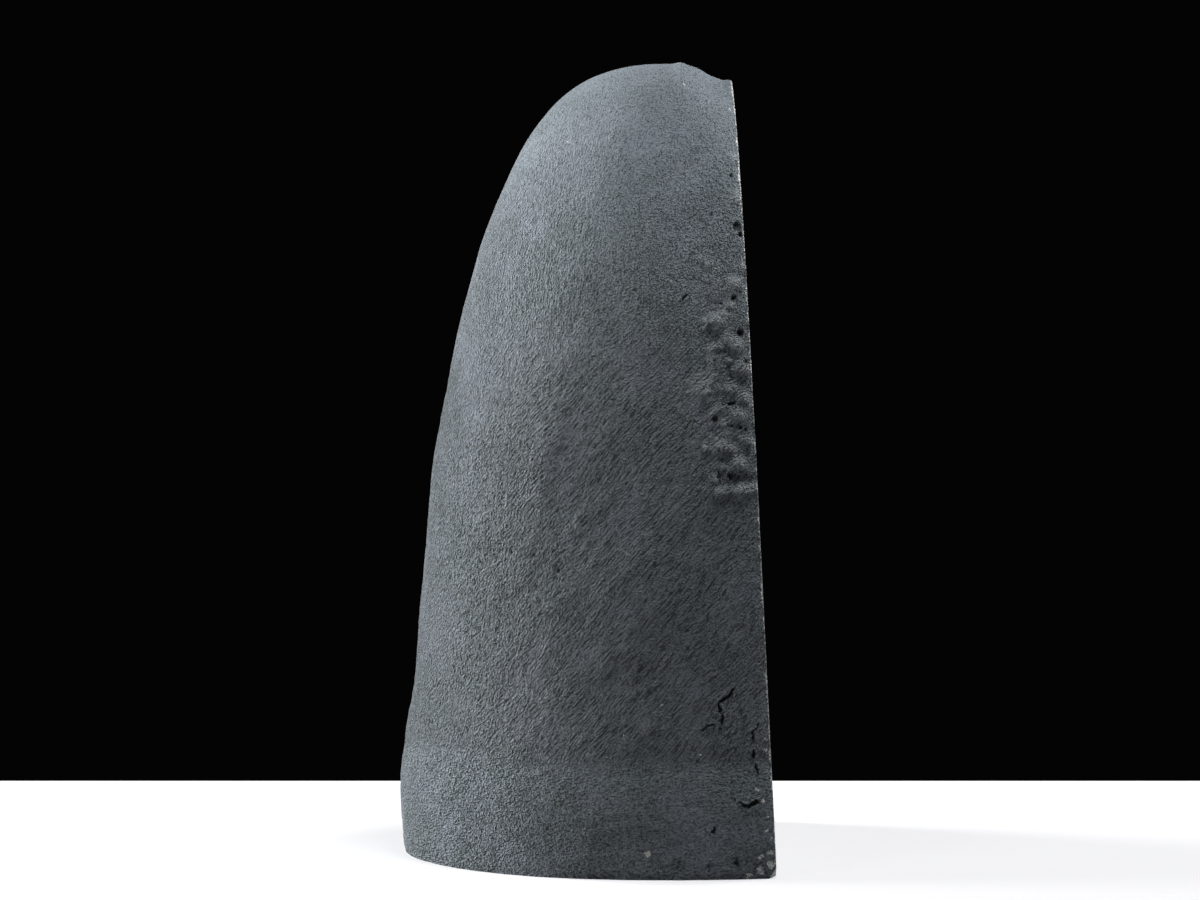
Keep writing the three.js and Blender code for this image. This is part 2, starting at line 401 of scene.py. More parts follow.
mortar = {
    "slant": math.radians(-42),  # turn about X that stands the slanted strokes upright
    "slantFrom": 232 * mm,  # strokes go from slanted to upright between these heights
    "uprightFrom": 300 * mm,
    "levelBelow": 50 * mm,  # and round the foot they run level
    "sunk": 0.3 * mm,  # keeps the relief inside the solid's box
    "swell": (0.55 * mm, 55 * mm),  # height and spacing of the broad waves, then of lumps and crumbs
    "lump": (0.30 * mm, 19 * mm),
    "crumb": (0.24 * mm, 3.2 * mm),
    "swathe": (0.40 * mm, 14 * mm, 60 * mm),  # depth, spacing and length of the brush's passes
    "stroke": (0.22 * mm, 3.6 * mm, 13 * mm),  # and of the bristle clumps within them
    "highestKnob": 1.2 * mm,  # a knob this high or higher is worn the most and gets the most painted highlight
    "deepestShade": 0.8 * mm,  # a hollow this deep or deeper gets the darkest painted shade
    "brokenCorner": (9 * mm, 3.2 * mm, 5 * mm),  # how far a broken corner reaches across, back and up
    "pitCount": 60,
    "darkPaint": (0.085, 0.102, 0.118),
    "palePaint": (0.224, 0.259, 0.296),
    "bareMortar": (0.58, 0.59, 0.56),
    "rubbedAndLitPaint": (0.36, 0.39, 0.40),
    "rubbingAndHighlight": 0.5,  # how far the tops of the knobs go to the paler colour, which is worn paint and painted highlight both
    "freshBreak": (0.98, 0.99, 0.95),  # the whitest grains at a chip
    "darkestPaintedShade": 0.76,  # painted shade: how much darker the paint is made low down and towards the face
    "speckle": 1.3,  # how strongly the paint's tone follows the fine relief, as dust and as painted relief shading
    # near-black painted shade for pits, cracks and scratches
    "hollowShade": (0.012, 0.013, 0.015),
    "darkSand": (0.30, 0.31, 0.30),
    "paleSand": (0.92, 0.92, 0.90),
    "grain": 0.95 * mm,
    "strokeRelief": 1.05,  # height of the bristle marks against the sand grain's
    "fineRelief": 5.2 * mm,
    "wander": 8 * mm,
    "faceEdge": 0.55 * mm,
    "uprightStrokes": (1150, 1150, 150),  # bristle marks to a metre along X, Y and Z
    "slantedStrokes": (1050, 1050, 150),
    "levelStrokes": (520, 520, 1000),
}
# On the left side, as Y and height. Lumps of mortar beside the face: radius and how far they stand out
leftKnobs = [
    (-65, 269, 7, 1.5), (-69, 273, 4.5, 0.9), (-73.5, 258, 6.5, 1.7), (-69.5, 261, 4.5, 1.0),
    (-78, 246, 6.5, 1.8), (-58, 238, 10, 1.2), (-75, 224, 6, 1.5), (-67, 209, 7, 1.2),
    (-75, 200, 6, 1.6), (-74, 288, 5, 0.9), (-71.5, 277, 4, 1.0), (-78, 232, 5, 1.3),
    (-76, 187.5, 7, 1.3), (-67, 187, 5, 0.9), (-71, 236, 5, 0.8), (-63, 252, 6, 0.7),
    (-80, 211, 4.5, 1.3), (-78, 296, 5, 0.7), (-76, 330, 6, 0.8), (-74, 350, 5, 0.7),
]
# Round pits: radius and depth
leftPits = [
    (-73.3, 281, 1.5, 1.6), (-76.8, 264, 1.9, 2.0), (-79, 250, 1.5, 1.4), (-64, 222.5, 1.7, 1.2),
    (-54, 203, 0.8, 0.9), (-64, 250.5, 0.9, 1.0), (-57, 278, 0.9, 0.9), (-71.2, 195, 1.9, 2.2),
    (-65.6, 194.4, 1.3, 2.0), (-75.5, 316, 2.6, 1.8), (-77, 312, 1.6, 1.8), (-73, 341, 1.3, 1.4),
    (-63, 322, 1.2, 1.2), (-76.3, 24.4, 0.8, 0.9), (-61, 7, 1.0, 0.9), (-74, 8, 1.1, 0.9),
    (17, 24, 0.9, 0.7), (24, 156, 1.1, 0.9), (35, 157, 1.0, 0.8), (12, 149, 1.2, 0.9),
    (-38, 143, 0.9, 0.8), (-79, 217, 1.2, 1.3), (-86, 140, 1.0, 0.9), (-72, 244, 0.9, 0.9),
    (-68, 229, 0.8, 0.8),
]
# Cracks and gouges: width, depth, then the turns they take
leftGashes = [
    (1.5, 1.9, (-72.6, 91.5), (-71, 89.3), (-68, 87.4), (-65.5, 85.5), (-66, 81), (-66.8, 78.2),
     (-66.4, 73.8)),
    (1.0, 1.1, (-66, 75.4), (-61, 74.4), (-57.7, 72.7)),
    (0.5, 0.5, (-41, 73), (-34.4, 71)),
    (1.1, 1.3, (-85.5, 75.5), (-82.7, 72.2), (-82.2, 68.3)),
    (1.1, 1.5, (-82.7, 61.6), (-82.5, 58), (-83.3, 54.9), (-84.6, 51.6)),
    (1.9, 2.2, (-78.3, 36.1), (-80.6, 35.6), (-84, 37.8)),
    (0.9, 1.0, (-73.5, 39.5), (-76, 38), (-78.3, 36.1), (-76.5, 32.5)),
    (1.5, 1.8, (-63.7, 26), (-63, 22.8)),
    (1.3, 2.2, (-48.8, 280.3), (-51.2, 282.7)),
    (1.2, 1.6, (-70.7, 229.3), (-73.6, 230.4)),
    (1.2, 1.6, (-72.6, 218.6), (-76.5, 218)),
    (1.3, 1.6, (-65.2, 196.5), (-66, 192)),
    (0.6, 0.7, (-53, 268), (-57, 273)),
    (0.6, 0.6, (-56, 262), (-60, 267)),
    (0.5, 0.6, (-60, 262), (-62, 264)),
    (0.8, 0.9, (-74, 12), (-75.5, 7)),
    (0.6, 0.7, (-62, 9), (-60.5, 4)),
    (0.6, 0.6, (-45, 7), (-47, 10)),
]
# Chips down to bare mortar: radius
leftChips = [
    (-31.5, 12.5, 2.4), (-28, 17, 1.0), (-91, 13, 2.6), (-91, 7, 3.2), (-86, 4, 3.0), (-81, 2, 2.2),
    (-91, 19, 1.6), (-86, 11, 1.8), (-88.5, 68, 1.4), (-88.6, 63, 1.5), (-84.5, 43.5, 1.6),
    (-87, 38, 1.3), (-89, 30, 1.2), (-89, 24, 1.2), (-27, 9, 0.7), (-36, 15, 0.8), (-34, 18, 0.8),
    (-37, 21, 0.6), (54, 6, 1.4), (53, 24, 0.8), (-7, 183, 0.7), (-24, 126, 0.7), (-20, 70, 0.8),
    (-26, 73, 0.7), (-17, 66, 0.5), (-27, 220, 0.6), (-73, 375, 1.2), (-50, 387, 0.9), (2, 46, 0.5),
    (-44, 33, 0.5), (20, 95, 0.5), (-12, 262, 0.5), (-36, 312, 0.5), (8, 300, 0.5), (-58, 139, 0.6),
]
slantTurn = Matrix.Rotation(mortar["slant"], 3, "X")


def onSide(y, z, side):  # the outer form's point at a Y and a height in mm, on the left (-1) or right (1)
    y, z = y * mm, z * mm
    middle = float(sectionAt(1, z))
    top = geode["height"]
    end = float(roundOff((z - geode["shoulder"]) / (top - geode["shoulder"])))
    column, power = (4, geode["frontPower"]) if y < middle else (2, geode["backPower"])
    along = min(abs(y - middle) / (float(sectionAt(column, z)) * end), 1) ** (power / 2)
    across = math.sqrt(1 - along ** 2) ** (2 / power)
    return Vector((side * float(sectionAt(3, z)) * end * across, y, z))


def makeMarks():  # every lump, pit and chip by kind, with a tree to find the near ones, and the gashes
    chance = random.Random(geode["seed"])

    def anywhere(reach):  # a random place on a side, more often near the face
        z = chance.uniform(6, 375)
        back = float(sectionAt(1, z * mm) + sectionAt(2, z * mm) * 0.97) / mm
        return onSide(chance.triangular(-90 + z * 0.05, back, -60), z, chance.choice((-1, 1))), *reach

    def beside(side, lowest, highest):  # a random place in the rough strip beside the face
        z = chance.uniform(lowest, highest)
        return onSide(chance.uniform(-86 + z * 0.05, -58), z, side)

    knobs = [(onSide(y, z, -1), radius, height * 1.5) for y, z, radius, height in leftKnobs]
    knobs += [(beside(-1, 184, 300), chance.uniform(1.8, 3.6), chance.uniform(0.4, 1.1)) for _ in range(90)]
    knobs += [(beside(1, 90, 240), chance.uniform(2.5, 7), chance.uniform(0.3, 1.3)) for _ in range(110)]
    pits = [(onSide(y, z, -1), radius, depth) for y, z, radius, depth in leftPits]
    pits += [anywhere((radius, radius * 0.7)) for radius in
             (chance.uniform(0.5, 0.9) for _ in range(mortar["pitCount"]))]
    pits += [(beside(-1, 190, 290), chance.uniform(0.5, 0.9), 0.9) for _ in range(26)]
    pits += [(beside(1, 90, 240), chance.uniform(0.6, 1.6), 1.1) for _ in range(40)]
    chips = [(onSide(y, z, -1), radius, 0.25) for y, z, radius in leftChips]
    chips += [anywhere((radius, 0.2)) for radius in (chance.uniform(0.4, 1.1) for _ in range(40))]
    gashes = [(width * mm, depth * mm, [onSide(y, z, -1) for y, z in turns])
              for width, depth, *turns in leftGashes]
    for _ in range(14):
        start = anywhere(())[0]
        side = 1 if start.x > 0 else -1
        turns = [(start.y / mm, start.z / mm)]
        for _ in range(chance.randint(1, 4)):
            turns.append((turns[-1][0] + chance.uniform(-4, 1), turns[-1][1] + chance.uniform(-4, 4)))
        if -88 < turns[-1][0] and side > 0:
            gashes.append((chance.uniform(0.6, 1.2) * mm, 1.2 * mm, [onSide(y, z, side) for y, z in turns]))
    marks = {"gashes": [(width, depth, a, b) for width, depth, turns in gashes
                        for a, b in zip(turns, turns[1:])]}
    for kind, places in (("knobs", knobs), ("pits", pits), ("chips", chips)):
        tree = KDTree(len(places))
        for index, (place, *size) in enumerate(places):
            tree.insert(place, index)
        tree.balance()
        marks[kind] = [(tree, place, first * mm, second * mm) for place, first, second in places]
    middles = KDTree(len(marks["gashes"]))
    for index, (width, depth, a, b) in enumerate(marks["gashes"]):
        middles.insert((a + b) / 2, index)
    middles.balance()
    marks["middles"] = middles
    return marks


def nearMarks(marks, kind, p, reach, margin=0):  # a kind's marks at a point, as (radius, height, distance)
    tree = marks[kind][0][0]
    for place, index, distance in tree.find_range(p, reach):
        radius, size = marks[kind][index][2:]
        if distance < radius + margin:
            yield radius, size, distance


def gashesNear(marks, p):  # (width, depth, distance) of the gashes near a point
    for place, index, distance in marks["middles"].find_range(p, 7 * mm):
        width, depth, a, b = marks["gashes"][index]
        t = min(max((p - a).dot(b - a) / (b - a).length_squared, 0), 1)
        yield width, depth, (p - a.lerp(b, t)).length


def bell(value, centre, width):
    return math.exp(-((value - centre) / width) ** 2)


def strokesAt(p, spacing, length):  # brush relief at a point, -1 to 1
    warped = p + noise.noise_vector(p / 0.05) * 0.009
    edge = 30 * mm * noise.noise(p / 0.06)
    upright = smooth(mortar["slantFrom"], mortar["uprightFrom"], p.z + edge)
    level = 1 - smooth(mortar["levelBelow"], mortar["levelBelow"] + 14 * mm, p.z + edge * 0.2)
    slanted = (1 - upright) * (1 - level)
    height = 0
    if upright > 0:
        height += upright * noise.noise(Vector((warped.x / spacing, warped.y / spacing, warped.z / length)))
    if slanted > 0:
        turned = slantTurn @ warped
        height += slanted * noise.noise(Vector((turned.x / spacing, turned.y / spacing, turned.z / length)))
    if level > 0:
        height += level * noise.noise(Vector((warped.x / length, warped.y / length, warped.z / spacing)))
    return height


def ground(p):  # the broad relief: uneven mortar, brush passes, and how each stretch was shaped by hand
    y, z = p.y / mm, p.z / mm
    behind = faceDepth(p) / mm
    calm = 1 - 0.65 * smooth(220, 340, z)
    relief = -mortar["sunk"]
    for height, spacing in (mortar["swell"], mortar["lump"]):
        relief += height * noise.noise(p / spacing)
    for depth, spacing, length in (mortar["swathe"], mortar["stroke"]):
        relief += calm * depth * strokesAt(p, spacing, length)
    height, spacing = mortar["crumb"]
    relief += height * calm * noise.noise(p / spacing)
    # The crown's peak, its slope and the lip over the face
    crown = smooth(376, 390, z)
    relief += crown * (1.0 * bell(y, -49, 2.8) - 1.7 * bell(y, -65, 6) + 1.9 * smooth(-70.5, -73.5, y)) * mm
    # The top edge of the foot and the slight waist under it
    footEdge = geode["footTop"] / mm + 3 + 3 * noise.noise(p / 0.03)
    relief -= 0.3 * mm * smooth(footEdge - 6, footEdge + 6, z)
    relief -= 0.7 * mm * bell(z, 44, 14)
    # Wear along the sawn edge and round the ground line
    relief -= (1 - crown) * smooth(2.6, 0, behind) * (0.55 + 0.9 * noise.noise(p / 0.006)) * mm
    relief -= smooth(4, 0, z) * (0.5 + 0.5 * noise.noise(p / 0.009)) * mm
    if p.x < 0:
        # The ledge under the knobs, the ridge in the middle and the shallow hollow beside it
        ledge = smooth(-60, -66, y) * bell(z, 187.5, 2.6)
        under = smooth(-62, -67, y) * bell(z, 192.8, 2.0)
        ridge = bell((y - 18) + (z - 206) * 0.25, 0, 9) * bell(z, 206, 28)
        hollow = bell(y, -20, 22) * bell(z, 188, 34)
        relief += (0.9 * ledge - 1.0 * under + 1.3 * ridge - 1.6 * hollow) * mm
    return relief


def shapeMortar(bm, marks):  # moves the surface by its relief and notes where it is hollow or bare
    hollow = bm.verts.layers.float.new("hollow")
    bare = bm.verts.layers.float.new("bare")
    rubbedAndLit = bm.verts.layers.float.new("rubbedAndLit")
    normals = [v.normal.copy() for v in bm.verts]
    for v, normal in zip(bm.verts, normals):
        p = v.co.copy()
        relief = ground(p)
        for radius, height, distance in nearMarks(marks, "knobs", p, 10 * mm):
            swell = (1 - (distance / radius) ** 2) ** 2
            relief += height * swell
            # paler paint on the knobs: worn paint and a painted highlight both
            v[rubbedAndLit] = max(v[rubbedAndLit], min(height / mortar["highestKnob"], 1) * swell)
        ragged = p + noise.noise_vector(p / 0.0022) * 0.0006
        cuts = [0]
        for radius, depth, distance in nearMarks(marks, "pits", ragged, 3 * mm):
            cuts.append(depth * (1 - (distance / radius) ** 3))
        torn = ragged + noise.noise_vector(p / 0.0045) * 0.0009
        for width, depth, distance in gashesNear(marks, torn):
            half = width * (0.55 + 0.45 * noise.noise(p / 0.0028))
            cuts.append(depth * smooth(half * 1.25, half * 0.35, distance))
            relief += 0.22 * mm * smooth(half * 4, half * 1.5, distance)
        relief -= max(cuts)
        # how deep the hollow is, for the painted shade in it
        v[hollow] = min(max(cuts) / mortar["deepestShade"], 1)
        for radius, depth, distance in nearMarks(marks, "chips", ragged, 3 * mm):
            v[bare] = max(v[bare], smooth(radius, radius * 0.5, distance))
            relief -= depth * v[bare]
        v.co += normal * relief
        v.co.z = min(v.co.z, geode["height"])


def refine(bm, wanted):  # splits the edges of the faces that are wanted finer
    edges = {e: True for f in bm.faces if wanted(f.calc_center_median()) for e in f.edges}
    bmesh.ops.subdivide_edges(bm, edges=list(edges), cuts=1, use_grid_fill=True)


def makeMortarSurface():  # the outer surface with its relief, before it is parted
    bm = bmesh.new()
    addBody(bm, 8, depths["coat"], openBelow=True)
    cutAway(bm, allGeometry(bm), facePoint + faceNormal * 5 * mm, faceNormal)
    cutAway(bm, allGeometry(bm), Vector((0, 0, -3 * mm)), Vector((0, 0, -1)))
    marks = makeMarks()

    def isKnobbly(p):
        return p.x < 0 and p.y < -56 * mm and 182 * mm < p.z < 298 * mm

    def isPitted(p):
        around = nearMarks(marks, "pits", p, 3 * mm, 3 * mm)
        return any(distance < radius * 1.3 + 0.5 * mm for radius, size, distance in around)

    def isCracked(p, margin=0.6 * mm):
        return any(distance < width + margin for width, depth, distance in gashesNear(marks, p))

    refine(bm, lambda p: isKnobbly(p) or isCracked(p, 1.8 * mm) or isPitted(p))
    refine(bm, isCracked)
    bm.normal_update()
    shapeMortar(bm, marks)
    cutAway(bm, allGeometry(bm), facePoint, faceNormal)
    cutAway(bm, allGeometry(bm), Vector((0, 0, 0)), Vector((0, 0, -1)))
    return bm


def onFace(e):
    return all(abs(faceDepth(v.co)) < nearly for v in e.verts)


def atHeight(e, z):
    return all(abs(v.co.z - z) < nearly for v in e.verts)


def openEdges(bm):
    return [e for e in bm.edges if e.is_boundary]


def addBedding(bm, keepAbove):  # the mortar's inner surface, as it lies on the rock, facing inwards
    bedding = bmesh.new()
    addBody(bedding, 6, depths["basalt"] - layerJoint)
    level = Vector((0, 0, geode["footTop"]))
    cutAway(bedding, allGeometry(bedding), facePoint, faceNormal)
    cutAway(bedding, allGeometry(bedding), level, Vector((0, 0, -1 if keepAbove else 1)))
    bmesh.ops.reverse_faces(bedding, faces=bedding.faces)
    join(bm, bedding)


def closeMortar(bm, name, material, node):
    bmesh.ops.recalc_face_normals(bm, faces=bm.faces)
    for f in bm.faces:
        f.smooth = True
    print(name, "open edges", len(openEdges(bm)), "volume", bm.calc_volume(signed=True))
    return finishPiece(bm, name, material, node, math.radians(60))


def makeCoat(surface, material):
    bm = surface.copy()
    cutAway(bm, allGeometry(bm), Vector((0, 0, geode["footTop"])), Vector((0, 0, -1)))
    addBedding(bm, keepAbove=True)
    faceRims = [e for e in openEdges(bm) if onFace(e)]
    bmesh.ops.bridge_loops(bm, edges=[e for e in openEdges(bm) if atHeight(e, geode["footTop"])])
    bmesh.ops.bridge_loops(bm, edges=faceRims)
    return closeMortar(bm, "mortarCoat", material, "mortar_coat")


def chipCorner(bm, corner, inward):  # breaks off a bottom corner of the sawn face, down to bare mortar
    across, back, up = mortar["brokenCorner"]
    normal = Vector((-inward / across, -1 / back, -1 / up)).normalized()
    cutAway(bm, allGeometry(bm), corner + Vector((inward * across, 0, 0)), normal)
    rim = openEdges(bm)
    bare = bm.verts.layers.float["bare"]
    for v in {v: True for e in rim for v in e.verts}:
        v[bare] = 1
    bmesh.ops.triangle_fill(bm, use_beauty=True, edges=rim, normal=normal)


def makeFoot(surface, material):
    bm = surface.copy()
    cutAway(bm, allGeometry(bm), Vector((0, 0, geode["footTop"])), Vector((0, 0, 1)))
    addBedding(bm, keepAbove=False)
    bmesh.ops.bridge_loops(bm, edges=[e for e in openEdges(bm) if atHeight(e, geode["footTop"])])
    corners = [v for v in bm.verts if v.is_boundary and abs(v.co.z) < nearly
               and abs(faceDepth(v.co)) < 2 * nearly]
    corners.sort(key=lambda v: v.co.x)
    sill = bm.edges.new((corners[0], corners[-1]))
    cornerPlaces = [corners[0].co.copy(), corners[-1].co.copy()]
    rim = [e for e in openEdges(bm) if onFace(e)] + [sill]
    bmesh.ops.triangle_fill(bm, use_beauty=True, edges=rim, normal=faceNormal)
    base = [e for e in openEdges(bm) if atHeight(e, 0)]
    bmesh.ops.triangle_fill(bm, use_beauty=True, edges=base, normal=(0, 0, -1))
    chipCorner(bm, cornerPlaces[0], 1)
    chipCorner(bm, cornerPlaces[1], -1)
    return closeMortar(bm, "mortarFoot", material, "mortar_foot")


def paintedMortar():
    material, tree, shader = newMaterial("paintedMortar")
    link = tree.links.new
    place = objectPlace(tree)
    separated = addNode(tree, "SeparateXYZ", (-8, 3))
    link(place, separated.inputs[0])
    height = separated.outputs["Z"]
    edge = multiplyAdd(tree, (-7, 5), addNoise(tree, (-8, 5), place, 17, 2), 60 * mm, -30 * mm)
    level = maths(tree, (-6, 4), "ADD", height, edge)
    upright = mapRange(tree, (-5, 5), level, mortar["slantFrom"], mortar["uprightFrom"])
    footLevel = mapRange(tree, (-5, 4), height, mortar["levelBelow"] + 12 * mm, mortar["levelBelow"])
    # Strokes that wander a little, in three directions
    wander = addNode(tree, "TexNoise", (-8, -2), {"Scale": 22, "Detail": 2})
    link(place, wander.inputs["Vector"])
    centred = addNode(tree, "VectorMath", (-7, -2), operation="MULTIPLY_ADD")
    link(wander.outputs["Color"], centred.inputs[0])
    centred.inputs[1].default_value = [mortar["wander"]] * 3
    link(place, centred.inputs[2])
    turned = addNode(tree, "Mapping", (-6, -3))
    turned.inputs["Rotation"].default_value = (mortar["slant"], 0, 0)
    link(centred.outputs[0], turned.inputs["Vector"])
    strokes = []
    for row, source, direction in (
        (0, centred, "uprightStrokes"),
        (-2, turned, "slantedStrokes"),
        (-4, centred, "levelStrokes"),
    ):
        marks = useGroup(tree, brushStrokes, (-4, row), source.outputs[0], {"Frequency": mortar[direction]})
        strokes.append(marks.outputs)

    def blended(row, key):  # slanted strokes, with upright ones above them and level ones on the foot
        upper = mixValue(tree, (-2, row), upright, strokes[1][key], strokes[0][key])
        return mixValue(tree, (-1, row), footLevel, upper, strokes[2][key])

    stroke = blended(1, "Height")
    scratch = blended(-1, "Scratches")
    grain = useGroup(tree, sandGrain, (-4, -6), place,
                     {"Grain Size": mortar["grain"], "Pit Spacing": 3.6 * mm, "Speck Spacing": 12 * mm})
    # How rough each stretch was left: less towards the crown and on the foot
    patches = addNoise(tree, (-4, 7), place, 30, 3, 0.6)
    rough = mapRange(tree, (-3, 7), patches, 0.34, 0.64, 0.70, 1.25)
    towardsCrown = mapRange(tree, (-3, 6), height, 190 * mm, 390 * mm, 1.05, 0.12)
    rough = maths(tree, (-2, 7), "MULTIPLY", rough, towardsCrown)
    rough = maths(tree, (-1, 7), "MULTIPLY", rough, multiplyAdd(tree, (-2, 6), footLevel, -0.25, 1.0))
    # The fine relief: sand grains, bristle marks, pits and scratches
    fine = multiplyAdd(tree, (1, 1), stroke, mortar["strokeRelief"], grain.outputs["Height"])
    fine = maths(tree, (2, 1), "MULTIPLY", fine, rough)
    fine = maths(tree, (3, 1), "SUBTRACT", fine, maths(tree, (2, 0), "MULTIPLY", grain.outputs["Pits"], 0.30))
    fine = maths(tree, (4, 1), "SUBTRACT", fine, maths(tree, (3, 0), "MULTIPLY", scratch, 0.22))
    bump(tree, (6, -2), fine, mortar["fineRelief"], shader)
    # Paint: cool and dark, paler on the high points as dust and as painted relief shading, and paler on the
    # upper and back parts as painted light
    tone = multiplyAdd(tree, (1, 4), addNoise(tree, (1, 5), place, 40, 5, 0.7), 0.5, 0.2)
    raised = multiplyAdd(tree, (1, 3), stroke, 0.75, grain.outputs["Height"])
    aboveMiddle = maths(tree, (2, 3), "SUBTRACT", raised, 0.875)
    speckled = maths(tree, (2, 5), "MULTIPLY", aboveMiddle, rough)
    dustAndReliefShading = multiplyAdd(tree, (2, 4), speckled, mortar["speckle"], tone)
    dustAndReliefShading = mapRange(tree, (3, 4), dustAndReliefShading, 0.03, 0.87)
    colour = mixColour(tree, (4, 4), dustAndReliefShading, mortar["darkPaint"], mortar["palePaint"])
    # Painted light and shade: paint made darker low down and towards the face, paler upwards, towards the
    # back and on the foot
    slope = addNode(tree, "VectorMath", (-6, 8), operation="DOT_PRODUCT")
    link(place, slope.inputs[0])
    slope.inputs[1].default_value = (0, 0.5, 0.75)
    towardsLight = maths(tree, (-5, 8), "ADD", slope.outputs["Value"], edge)
    paintedShading = mapRange(tree, (-4, 9), towardsLight, -20 * mm, 240 * mm, mortar["darkestPaintedShade"], 0.92)
    paintedShading = maths(tree, (-3, 9), "MULTIPLY", paintedShading, multiplyAdd(tree, (-4, 8), footLevel, 0.30, 1.0))
    shade = addNode(tree, "CombineColor", (-2, 9))
    for socket in shade.inputs[:3]:
        link(paintedShading, socket)
    colour = mixColour(tree, (5, 4), 1.0, colour, shade.outputs[0], "MULTIPLY")
    hue = mapRange(tree, (3, 6), patches, 0.34, 0.64)
    colour = mixColour(tree, (5, 5), hue, colour, (0.95, 0.99, 0.95), "MULTIPLY")
    # Knobs are made paler, as worn paint and as a painted highlight, and hollows are made dark as painted
    # shade
    rubbedAndLit = maths(tree, (4, 8), "MULTIPLY", attribute(tree, (3, 8), "rubbedAndLit"), mortar["rubbingAndHighlight"])
    colour = mixColour(tree, (5, 6), rubbedAndLit, colour, mortar["rubbedAndLitPaint"])
    # Painted shade: pits, cracks, scratches and deep hollows darkened towards near black
    hollow = maths(tree, (3, 3), "MULTIPLY", attribute(tree, (2, 2), "hollow"), 0.85)
    small = maths(tree, (2, 1), "MAXIMUM", grain.outputs["Pits"], scratch)
    small = maths(tree, (3, 2), "MULTIPLY", maths(tree, (2, 2), "MULTIPLY", small, rough), 0.6)
    dark = maths(tree, (4, 2), "MAXIMUM", small, hollow)
    colour = mixColour(tree, (5, 3), dark, colour, mortar["hollowShade"])
    # Bare mortar at chips, specks and along the face, and on the sawn face itself; the pale line along the
    # face is also a painted highlight on its edge
    edgeWearAndHighlight = useGroup(tree, faceEdge, (1, 8), place, {"Width": mortar["faceEdge"]})
    crumbs = addNoise(tree, (1, 11), place, 1000, 2)
    crumbled = multiplyAdd(tree, (2, 10), attribute(tree, (1, 10), "bare"), 0.5, crumbs)
    chipped = maths(tree, (3, 10), "GREATER_THAN", crumbled, 0.84)
    bare = maths(tree, (3, 8), "MAXIMUM", edgeWearAndHighlight.outputs["Wear And Highlight"], chipped)
    bare = maths(tree, (4, 9), "MAXIMUM", bare, grain.outputs["Specks"])
    sandStops = [(0.35, mortar["darkSand"]), (0.5, mortar["bareMortar"]), (0.62, mortar["paleSand"])]
    sand = ramp(tree, (4, 12), grain.outputs["Height"], sandStops)
    freshness = maths(tree, (4, 11), "MULTIPLY", chipped, 0.6)
    fresh = mixColour(tree, (5, 12), freshness, sand, mortar["freshBreak"])
    colour = mixColour(tree, (6, 5), maths(tree, (5, 8), "MULTIPLY", bare, 0.9), colour, fresh)
    link(colour, shader.inputs["Base Color"])
    link(mapRange(tree, (6, 0), raised, 0.6, 1.1, 0.92, 0.72), shader.inputs["Roughness"])
    return material


mortarPaint = paintedMortar()
mortarSurface = makeMortarSurface()
print("mortar surface made")
makeCoat(mortarSurface, mortarPaint)
makeFoot(mortarSurface, mortarPaint)
mortarSurface.free()


# The rock behind the mortar, layer by layer, sawn through and polished at the face

layers = {
    "gap": 0.06 * mm,
    "subdivisions": 6,
    "basalt": (0.024, 0.027, 0.026),
    "celadonite": (0.045, 0.10, 0.075),
    "agateBands": [(0.00, (0.30, 0.33, 0.34)), (0.18, (0.62, 0.64, 0.63)), (0.27, (0.22, 0.25, 0.29)),
                   (0.40, (0.55, 0.58, 0.60)), (0.52, (0.32, 0.35, 0.40)), (0.63, (0.74, 0.74, 0.72)),
                   (0.74, (0.38, 0.40, 0.46)), (0.88, (0.66, 0.65, 0.68))],
    "quartz": [(0.0, (0.72, 0.71, 0.71)), (0.55, (0.66, 0.63, 0.68)), (1.0, (0.42, 0.34, 0.52))],
}


def turnInside(bm, inner):  # turns the faces of a body's inner wall to face the hollow
    bmesh.ops.reverse_faces(bm, faces=list({f for v in inner for f in v.link_faces}))


def makeLayer(name, start, end, material, node):
    bm = bmesh.new()
    share = bm.verts.layers.float.new("layerShare")  # 0 outside and 1 inside, for the bands across the rim
    addBody(bm, layers["subdivisions"], start - layerJoint + layers["gap"] / 2)
    inner = addBody(bm, layers["subdivisions"], end - layerJoint - layers["gap"] / 2)
    for v in inner:
        v[share] = 1
    turnInside(bm, inner)
    cutAway(bm, allGeometry(bm), facePoint, faceNormal)
    bmesh.ops.bridge_loops(bm, edges=openEdges(bm))
    bmesh.ops.recalc_face_normals(bm, faces=bm.faces)
    for f in bm.faces:
        f.smooth = True
    print(name, "open edges", len(openEdges(bm)))
    return finishPiece(bm, name, material, node)


def cloudedShare(tree, name, clouds, strength):  # a share held by the mesh, pushed to and fro by the clouds
    share = maths(tree, (-5, 0), "SUBTRACT", attribute(tree, (-6, 0), name), strength / 2)
    return multiplyAdd(tree, (-4, 1), clouds.outputs["Clouds"], strength, share)


def setFinish(tree, shader, colour, gloss, low, high, smoothest, roughest):
    tree.links.new(colour, shader.inputs["Base Color"])
    tree.links.new(mapRange(tree, (2, -1), gloss, low, high, smoothest, roughest), shader.inputs["Roughness"])


def setShader(shader, values):
    for key, value in values.items():
        shader.inputs[key].default_value = value


